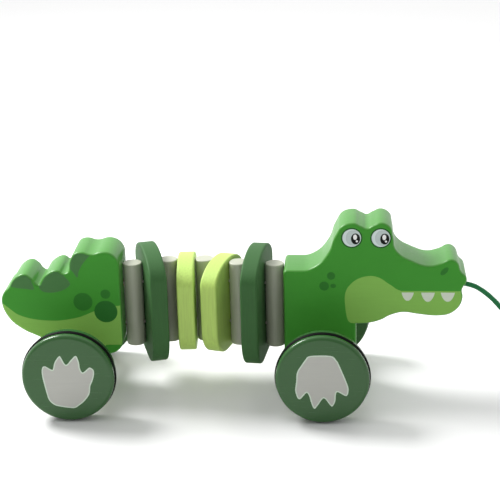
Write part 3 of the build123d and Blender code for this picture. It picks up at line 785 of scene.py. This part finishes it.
def make_head():
    """The printed head block."""
    head = slab("painted_head", head_outline(), BLOCK_T, BLOCK_EDGE, "leaf", head_print(),
                HEAD_PLACE, PRINT_EDGE)
    mouth_low = (MOUTH_WELL_X, 0, CHIN_BOTTOM[1] - 2 * PAST)
    holes = [axle_hole((FRONT_MIDDLE.x - HEAD_LOW.x) / MM, FRONT_MIDDLE.z / MM),
             ((HEAD_WELL_X, 0, HEAD_BOTTOM_Z - PAST), (HEAD_WELL_X, 0, WELL_TOP), WELL_R),
             (mouth_low, (MOUTH_WELL_X, 0, MOUTH_WELL_TOP), MOUTH_WELL_R),
             ((MOUTH_WELL_X, 0, CORD_Z), (NOSE_TIP[0] + 2 * PAST, 0, CORD_Z), CORD_HOLE_R)]
    holes += [((-PAST, 0, z), (HEAD_WELL_X, 0, z), STRING_HOLE_R) for z in STRING_HEIGHTS]
    drill(head, holes, HEAD_PLACE)
    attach(head, "head")
    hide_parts("head_block")


def make_tail():
    """The printed tail block."""
    tail = slab("painted_tail", tail_outline(), BLOCK_T, BLOCK_EDGE, "leaf", tail_print(),
                TAIL_PLACE, PRINT_EDGE)
    holes = [axle_hole(-REAR_AXLE_X, REAR_MIDDLE.z / MM),
             ((TAIL_WELL_X, 0, TAIL_BOTTOM_Z - PAST), (TAIL_WELL_X, 0, WELL_TOP), WELL_R)]
    holes += [((TAIL_WELL_X, 0, z), (PAST, 0, z), STRING_HOLE_R) for z in STRING_HEIGHTS]
    drill(tail, holes, TAIL_PLACE)
    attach(tail, "tail")
    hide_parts("tail_block")


def make_paw(end, hand, side, outline, middle, turn):
    """The paw printed on the outer face of one wheel."""
    shape = spline_through(outline, steps=4)
    if area(shape) < 0:
        shape = shape[::-1]
    place = Matrix.Translation(middle) @ turn @ Matrix.Translation((0, side * WHEEL_FACE_Y, 0))
    paw = slab(f"{end}_{hand}_wheel_paw", shape, PAW_THICKNESS, PAW_EDGE, "paw_edge",
               [("paw", inset(shape, PAW_BORDER))], place @ Matrix.Scale(MM, 4))
    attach(paw, f"{end}_wheels")


# ---- The pull cord ----------------------------------------------------------------
NOT_ALONG = (0.0, 1.0, 0.3)     # a direction in which no braid starts
YARN_SHARP = 80           # degrees, above every bend of a braid's furrows
LOOP_POINTS = 160         # points along the end knot


def coil_points():
    """The turns of the spare cord: outside and inside on the floor, then back on top."""
    lanes = [(COIL_OUTER_R, COIL_LOW_Z), (COIL_INNER_R, COIL_LOW_Z),
             (COIL_INNER_R, COIL_HIGH_Z), (COIL_OUTER_R, COIL_HIGH_Z)]
    count = round(COIL_TURNS * POINTS_PER_TURN)
    # The spline runs inside its control points, so they lie a little further out.
    inside_cut = math.cos(math.pi / POINTS_PER_TURN) ** 0.5
    points = []
    for index in range(count + 1):
        turn = index / POINTS_PER_TURN
        lane = min(int(turn), len(lanes) - 1)
        radius, height = lanes[lane]
        left = 1 - (turn - lane)
        if left < SHIFT_SHARE and lane + 1 < len(lanes):
            share = 1 - left / SHIFT_SHARE
            next_radius, next_height = lanes[lane + 1]
            radius += (next_radius - radius) * share
            height += (next_height - height) * share
        angle = 2 * math.pi * turn - math.pi / 2
        reach = radius / inside_cut
        points.append((COIL_MIDDLE[0] + reach * math.cos(angle),
                       COIL_MIDDLE[1] + reach * math.sin(angle), height))
    return points


def curve_line(name, points):
    """The smooth line of a NURBS spline through control points in millimetres."""
    curve = bpy.data.curves.new(name, "CURVE")
    curve.dimensions = "3D"
    spline = curve.splines.new("NURBS")
    spline.points.add(len(points) - 1)
    for point, place in zip(spline.points, points):
        point.co = (*(value * MM for value in place), 1.0)
    spline.order_u = 3
    spline.use_endpoint_u = True
    spline.resolution_u = 12
    holder = bpy.data.objects.new(name, curve)
    mesh = bpy.data.meshes.new_from_object(holder)
    line = np.array([vertex.co for vertex in mesh.vertices])
    bpy.data.objects.remove(holder)
    bpy.data.meshes.remove(mesh)
    bpy.data.curves.remove(curve)
    return line


def even(line, step):
    """The same line with evenly spaced points."""
    runs = np.linalg.norm(np.diff(line, axis=0), axis=1)
    along = np.concatenate([[0], np.cumsum(runs)])
    count = max(2, round(along[-1] / step) + 1)
    places = np.linspace(0, along[-1], count)
    return np.column_stack([np.interp(places, along, line[:, k]) for k in range(3)])


def braided_tube(name, line, radius, relief, strands, pitch, material, sides=24):
    """A round braid along a line in metres: two sets of strands wind opposite ways.

    The radius, the furrows' relief and the strands' pitch are in millimetres.
    """
    tangents = np.gradient(line, axis=0)
    tangents /= np.linalg.norm(tangents, axis=1)[:, None]
    along = np.concatenate([[0], np.cumsum(np.linalg.norm(np.diff(line, axis=0), axis=1))])
    normal = unit(np.cross(tangents[0], NOT_ALONG))
    angles = np.arange(sides) * 2 * math.pi / sides
    vertices = []
    for point, tangent, place in zip(line, tangents, along):
        normal = unit(normal - tangent * (normal @ tangent))
        other = np.cross(tangent, normal)
        wind = 2 * math.pi * place / (pitch * MM)
        one = np.cos(strands * angles + wind)
        two = np.cos(strands * angles - wind)
        reach = (radius - relief * (1 - np.maximum(one, two)) / 2) * MM
        ring = point + reach[:, None] * (np.cos(angles)[:, None] * normal
                                         + np.sin(angles)[:, None] * other)
        vertices.append(ring)
    count = len(line)
    vertices = np.vstack(vertices + [line[:1], line[-1:]])
    faces = []
    for ring in range(count - 1):
        for side in range(sides):
            a = ring * sides + side
            b = ring * sides + (side + 1) % sides
            faces.append((a, b, b + sides, a + sides))
    first, last = count * sides, count * sides + 1
    final = (count - 1) * sides
    for side in range(sides):
        follow = (side + 1) % sides
        faces.append((follow, side, first))
        faces.append((final + side, final + follow, last))
    return new_object(name, vertices, faces, [material], [0] * len(faces),
                      Matrix.Identity(4), YARN_SHARP)


def overhand_knot(name, middle, direction):
    """A tight overhand knot in the cord's own yarn."""
    turn = Vector(direction).to_track_quat("Z", "Y").to_matrix()
    angles = np.linspace(0, 2 * math.pi, LOOP_POINTS, endpoint=False)
    reach = KNOT_WIDTH - KNOT_STRAND_R
    loop = np.column_stack([reach * (np.sin(angles) + 2 * np.sin(2 * angles)) / 3,
                            reach * (np.cos(angles) - 2 * np.cos(2 * angles)) / 3,
                            -(KNOT_LENGTH / 2 - KNOT_STRAND_R) * np.sin(3 * angles)])
    line = np.array([(Vector(middle) + turn @ Vector(point)) * MM for point in loop])
    line = np.vstack([line, line[:1]])
    return braided_tube(name, line, KNOT_STRAND_R, CORD_RELIEF, CORD_STRANDS, KNOT_PITCH,
                        "cord", sides=16)


def make_cord():
    """The pull cord from the mouth to its end, with its coil, tie and end knot."""
    route = CORD_ROUTE + coil_points() + END_ROUTE
    line = even(curve_line("cord_line", route), CORD_STEP * MM)
    cord = braided_tube("braided_pull_cord", line, CORD_R, CORD_RELIEF, CORD_STRANDS,
                        CORD_PITCH, "cord")
    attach(cord, "head")
    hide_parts("pull_cord", "cord_coil", "cord_end")

    end = np.array(END_ROUTE[-1])
    way = unit(end - np.array(END_ROUTE[-2]))
    end_knot = overhand_knot("tied_end_knot", end + way * KNOT_BEYOND, way)
    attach(end_knot, "head")
    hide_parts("end_knot")

    tie = make_tie()


def make_tie():
    """A thin elastic band round all the strands of the coil."""
    angle = math.radians(TIE_AT)
    out = np.array([math.cos(angle), math.sin(angle), 0])
    up = np.array([0, 0, 1.0])
    middle = np.array([*COIL_MIDDLE, 0]) + out * (COIL_OUTER_R + COIL_INNER_R) / 2
    side = TIE_HALF_WIDTH - TIE_CORNER
    high, low = TIE_TOP - TIE_CORNER, TIE_BOTTOM + TIE_CORNER
    line = []
    for centre_out, centre_up, start in ((side, high, 0), (-side, high, 90),
                                         (-side, low, 180), (side, low, 270)):
        for degrees in range(start, start + 91, 15):
            turn = math.radians(degrees)
            line.append(middle + out * (centre_out + TIE_CORNER * math.cos(turn))
                        + up * (centre_up + TIE_CORNER * math.sin(turn)))
    line.append(line[0])
    tie = braided_tube("coil_tie", even(np.array(line) * MM, TIE_STEP * MM), TIE_R,
                       TIE_RELIEF, TIE_STRANDS, TIE_PITCH, "string", sides=12)
    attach(tie, "head")
    return tie


# ---- Finishes of the CAD's own pieces ---------------------------------------------
def finish_of(node):
    """The material of a CAD piece."""
    if node in ("disc_1", "disc_4"):
        return "dark_upright"
    if node in ("disc_2", "disc_3"):
        return "lime"
    if node.startswith("dowel_"):
        return "grey"
    if node.endswith("_wheel"):
        return "dark_wheel"
    if node.endswith("_rubber_ring"):
        return "rubber"
    if node == "mouth_knot":
        return "cord"
    if "string" in node:
        return "string"
    if node == "pull_ball":
        return "ball"
    return "wood"


def finish_nodes():
    """Gives every CAD piece that shows its finish."""
    for node, piece in frame["nodes"].items():
        material = MATERIALS[finish_of(node)]
        if not piece.material_slots:
            piece.data.materials.append(material)
        for place in piece.material_slots:
            place.material = material


# ---- Stage, camera and light ------------------------------------------------------
FLOOR_HALF = 6.0          # m
FLOOR_GREY = (0.86, 0.86, 0.86, 1)
CAMERA_PLACE = (80.7, -864.4, 406.3)    # mm
CAMERA_TURN = 4.53        # degrees to the left of straight across the toy
CAMERA_DOWN = 19.71
CAMERA_ROLL = -1.44
LENS = 103.3              # mm, on a sensor 36 mm wide
SENSOR = 36
CLIP_NEAR = 0.05          # m
CLIP_FAR = 30
FRONT_SURROUND = 0.35     # brightness of the surround in front of the toy, towards -Y
BACK_SURROUND = 1.15      # and behind it
FADE_FROM = -0.9          # it changes while the Y of the direction goes from here
FADE_TO = 0.3             # to here
KEY_PLACE = (-0.75, 0.35, 0.85)     # m
KEY_TARGET = (0, 0, 0.05)
KEY_SIZE = 0.5
KEY_POWER = 17


def make_stage():
    """A wide pale floor."""
    mesh = bpy.data.meshes.new("floor")
    corners = [(-1, -1), (1, -1), (1, 1), (-1, 1)]
    mesh.from_pydata([(x * FLOOR_HALF, y * FLOOR_HALF, 0) for x, y in corners], [],
                     [(0, 1, 2, 3)])
    floor = bpy.data.objects.new("floor", mesh)
    bpy.context.scene.collection.objects.link(floor)
    shader = Shader("pale_floor", roughness=0.3, Base_Color=FLOOR_GREY, Specular_IOR_Level=0.3)
    mesh.materials.append(shader.material)


def make_camera():
    """The camera, at the height and angle of the reference view."""
    turn, down = math.radians(CAMERA_TURN), math.radians(CAMERA_DOWN)
    roll = math.radians(CAMERA_ROLL)
    forward = Vector((-math.sin(turn) * math.cos(down), math.cos(turn) * math.cos(down),
                      -math.sin(down)))
    level = Vector((math.cos(turn), math.sin(turn), 0))
    upward = level.cross(forward)
    right = level * math.cos(roll) + upward * math.sin(roll)
    up = upward * math.cos(roll) - level * math.sin(roll)
    data = bpy.data.cameras.new("camera")
    data.sensor_width = SENSOR
    data.lens = LENS
    data.clip_start = CLIP_NEAR
    data.clip_end = CLIP_FAR
    camera = bpy.data.objects.new("camera", data)
    axes = Matrix((right, up, -forward)).transposed().to_4x4()
    camera.matrix_world = Matrix.Translation(Vector(CAMERA_PLACE) * MM) @ axes
    bpy.context.scene.collection.objects.link(camera)
    bpy.context.scene.camera = camera


def make_key():
    """A bright soft light from behind on the left."""
    data = bpy.data.lights.new("key", "AREA")
    data.shape = "DISK"
    data.size = KEY_SIZE
    data.energy = KEY_POWER
    key = bpy.data.objects.new("key", data)
    way = Vector(KEY_TARGET) - Vector(KEY_PLACE)
    key.matrix_world = (Matrix.Translation(KEY_PLACE)
                        @ way.to_track_quat("-Z", "Y").to_matrix().to_4x4())
    bpy.context.scene.collection.objects.link(key)


def make_surround():
    """A white surround that is dimmer in front of the toy than behind it."""
    world = bpy.data.worlds.new("surround")
    world.use_nodes = True
    tree = world.node_tree
    where = tree.nodes.new("ShaderNodeTexCoord")
    parts = tree.nodes.new("ShaderNodeSeparateXYZ")
    fade = tree.nodes.new("ShaderNodeMapRange")
    background = tree.nodes["Background"]
    for socket, value in (("From Min", FADE_FROM), ("From Max", FADE_TO),
                          ("To Min", FRONT_SURROUND), ("To Max", BACK_SURROUND)):
        fade.inputs[socket].default_value = value
    tree.links.new(where.outputs["Generated"], parts.inputs["Vector"])
    tree.links.new(parts.outputs["Y"], fade.inputs["Value"])
    tree.links.new(fade.outputs["Result"], background.inputs["Strength"])
    background.inputs["Color"].default_value = (1, 1, 1, 1)
    bpy.context.scene.world = world


# ---- Everything -------------------------------------------------------------------
finish_nodes()
make_head()
make_tail()
for hand, side in (("right", -1), ("left", 1)):
    make_paw("front", hand, side, FRONT_PAW, FRONT_MIDDLE, Matrix.Identity(4))
    make_paw("rear", hand, side, REAR_PAW, REAR_MIDDLE, REAR_TURN)
make_cord()
make_stage()
make_camera()
make_key()
make_surround()
bpy.context.scene.view_settings.view_transform = "Standard"
